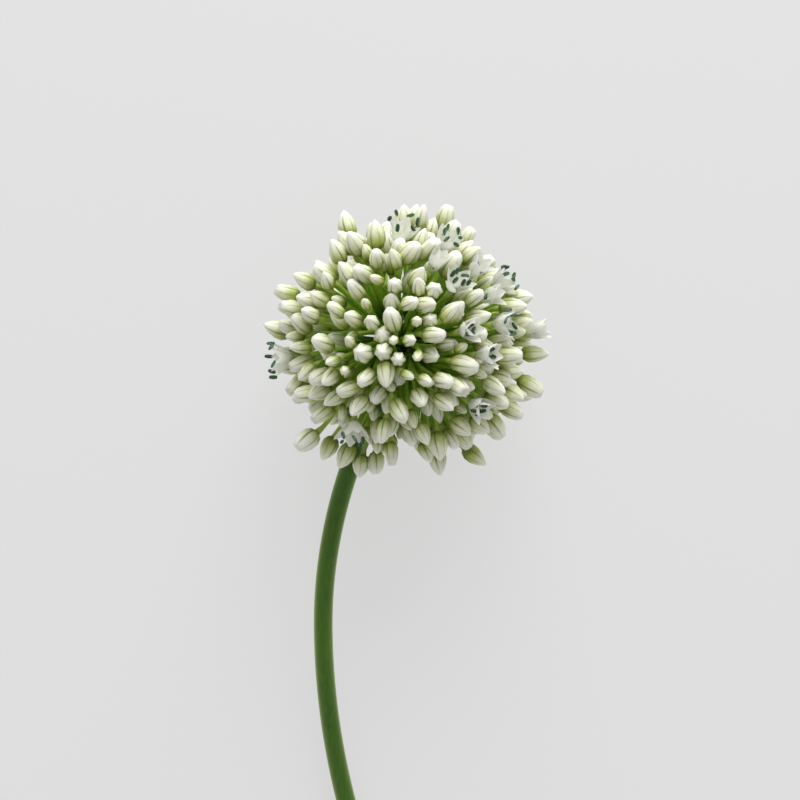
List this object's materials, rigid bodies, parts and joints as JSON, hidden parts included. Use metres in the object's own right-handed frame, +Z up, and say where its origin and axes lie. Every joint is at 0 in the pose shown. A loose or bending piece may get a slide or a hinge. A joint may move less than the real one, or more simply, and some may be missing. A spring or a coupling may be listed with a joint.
{
  "type": "allium flower head",
  "caption": "Cut allium flower head lying on its side: a round umbel of white, green-ribbed buds with a few open flowers on a curved green scape.",
  "frame": {"origin": "on the surface that the part rests on, under the centre of its box", "axes": "+X to the right, +Y from the cut end of the scape towards the head, +Z up from the surface"},
  "size_m": [0.0664, 0.1644, 0.0592],
  "materials": {
    "scape_green": "smooth waxy green skin of a flower stalk",
    "bud_cream": "closed buds, cream-white with green ribs, on yellow-green pedicels",
    "tepal_white": "thin white tepals with dark green anthers"
  },
  "bodies": {
    "root": {"cyme_01": "bud_cream", "cyme_02": "bud_cream", "cyme_03": "bud_cream", "cyme_04": "bud_cream", "cyme_05": "bud_cream", "cyme_06": "bud_cream", "cyme_07": "bud_cream", "cyme_08": "bud_cream", "cyme_09": "bud_cream", "cyme_10": "bud_cream", "cyme_11": "bud_cream", "cyme_12": "bud_cream", "cyme_13": "bud_cream", "cyme_14": "bud_cream", "cyme_15": "bud_cream", "cyme_16": "bud_cream", "cyme_17": "bud_cream", "cyme_18": "bud_cream", "cyme_19": "bud_cream", "cyme_20": "bud_cream", "cyme_21": "bud_cream", "cyme_22": "bud_cream", "cyme_23": "bud_cream", "cyme_24": "bud_cream", "cyme_25": "bud_cream", "cyme_26": "bud_cream", "cyme_27": "bud_cream", "cyme_28": "bud_cream", "cyme_29": "bud_cream", "cyme_30": "bud_cream", "cyme_31": "bud_cream", "cyme_32": "bud_cream", "cyme_33": "bud_cream", "cyme_34": "bud_cream", "cyme_35": "bud_cream", "cyme_36": "bud_cream", "cyme_37": "bud_cream", "cyme_38": "bud_cream", "cyme_39": "bud_cream", "cyme_40": "bud_cream", "cyme_41": "bud_cream", "open_flower_01": "tepal_white", "open_flower_02": "tepal_white", "open_flower_03": "tepal_white", "open_flower_04": "tepal_white", "open_flower_05": "tepal_white", "open_flower_06": "tepal_white", "open_flower_07": "tepal_white", "open_flower_08": "tepal_white", "open_flower_09": "tepal_white", "open_flower_10": "tepal_white", "open_flower_11": "tepal_white", "open_flower_12": "tepal_white", "open_flower_13": "tepal_white", "open_flower_14": "tepal_white", "open_flower_15": "tepal_white", "open_flower_16": "tepal_white", "scape": "scape_green", "stray_bud_1": "bud_cream", "stray_bud_2": "bud_cream"}
  },
  "joints": []
}
